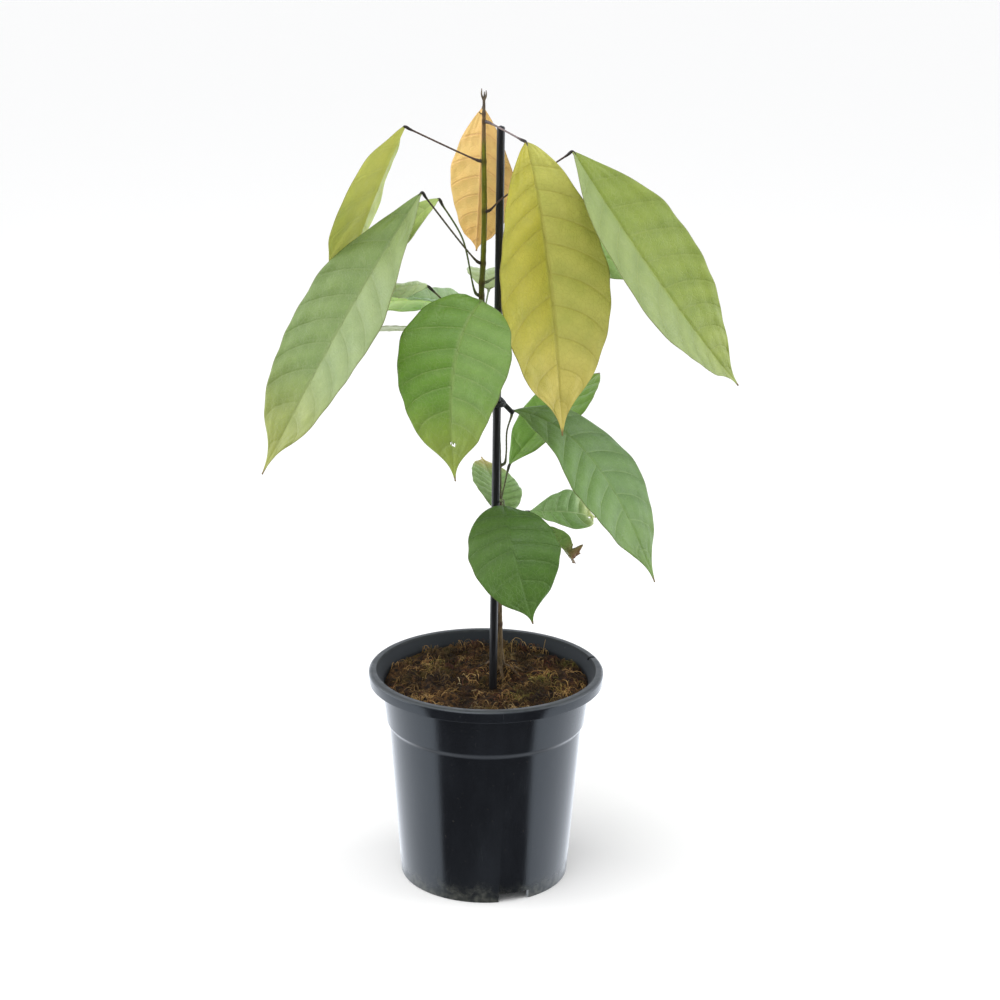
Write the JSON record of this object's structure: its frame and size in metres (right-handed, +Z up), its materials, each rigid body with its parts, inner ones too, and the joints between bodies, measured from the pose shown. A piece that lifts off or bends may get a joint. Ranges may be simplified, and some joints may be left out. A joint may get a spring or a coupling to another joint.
{
  "type": "potted cacao tree",
  "caption": "Young cacao tree with large drooping leaves, tied to a thin stake and growing in a round black nursery pot of fibrous soil.",
  "frame": {"origin": "centre of the pot's floor pad, on the surface that the pot stands on", "axes": "+Z up along the pot's axis; +Y away from the front view, +X to the right of it"},
  "size_m": [0.33, 0.2026, 0.5731],
  "materials": {
    "pot_plastic": "semi-gloss black moulded plastic",
    "soil": "matte fibrous peat and coir",
    "stem_bark": "young bark, olive green above and brown below",
    "stake_plastic": "black plastic-coated stake",
    "tie_plastic": "soft black tube tie",
    "leaf_green": "semi-gloss mature leaf",
    "leaf_deep": "semi-gloss old leaf",
    "leaf_fresh": "semi-gloss maturing leaf",
    "leaf_pale": "semi-gloss pale leaf",
    "leaf_olive": "soft satin young leaf, yellow olive",
    "leaf_peach": "soft satin new leaf, peach yellow"
  },
  "bodies": {
    "root": {"pot": "pot_plastic", "soil": "soil", "stem": "stem_bark", "stake": "stake_plastic", "tie": "tie_plastic", "leaf_01": "leaf_olive", "leaf_02": "leaf_pale", "leaf_03": "leaf_fresh", "leaf_04": "leaf_peach", "leaf_05": "leaf_olive", "leaf_06": "leaf_fresh", "leaf_07": "leaf_green", "leaf_08": "leaf_green", "leaf_09": "leaf_green", "leaf_10": "leaf_fresh", "leaf_11": "leaf_pale", "leaf_12": "leaf_pale", "leaf_13": "leaf_green", "leaf_14": "leaf_green", "leaf_15": "leaf_green", "leaf_16": "leaf_deep", "leaf_17": "leaf_green", "leaf_18": "leaf_fresh", "leaf_19": "leaf_fresh"}
  },
  "joints": []
}
